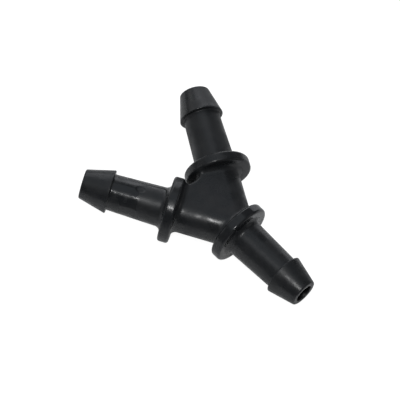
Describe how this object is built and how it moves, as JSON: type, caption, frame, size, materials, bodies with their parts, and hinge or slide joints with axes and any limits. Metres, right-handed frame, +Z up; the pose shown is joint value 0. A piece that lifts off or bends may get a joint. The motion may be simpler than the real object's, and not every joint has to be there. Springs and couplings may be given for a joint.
{
  "type": "barbed y connector",
  "caption": "Black moulded Y connector for irrigation hose: an inlet and two angled arms, each with a stop collar, a tapered stem and a barb.",
  "frame": {"origin": "bottom centre of the bounding box: on the surface that the collars' rims rest on, under the middle of the footprint", "axes": "+Z up, square to the flat sides of the hub; the inlet leg runs along -Y, and the two arms open towards +Y, 30 degrees to either side of it, the left arm towards -X and the right arm towards +X"},
  "size_m": [0.0374, 0.0494, 0.0136],
  "materials": {
    "moulded_plastic": "semi-gloss injection-moulded black plastic, faintly mottled, with soft broken highlights"
  },
  "bodies": {
    "root": {"hub": "moulded_plastic", "inlet_collar": "moulded_plastic", "inlet_stem": "moulded_plastic", "inlet_barb": "moulded_plastic", "left_collar": "moulded_plastic", "left_stem": "moulded_plastic", "left_barb": "moulded_plastic", "right_collar": "moulded_plastic", "right_stem": "moulded_plastic", "right_barb": "moulded_plastic"}
  },
  "joints": []
}
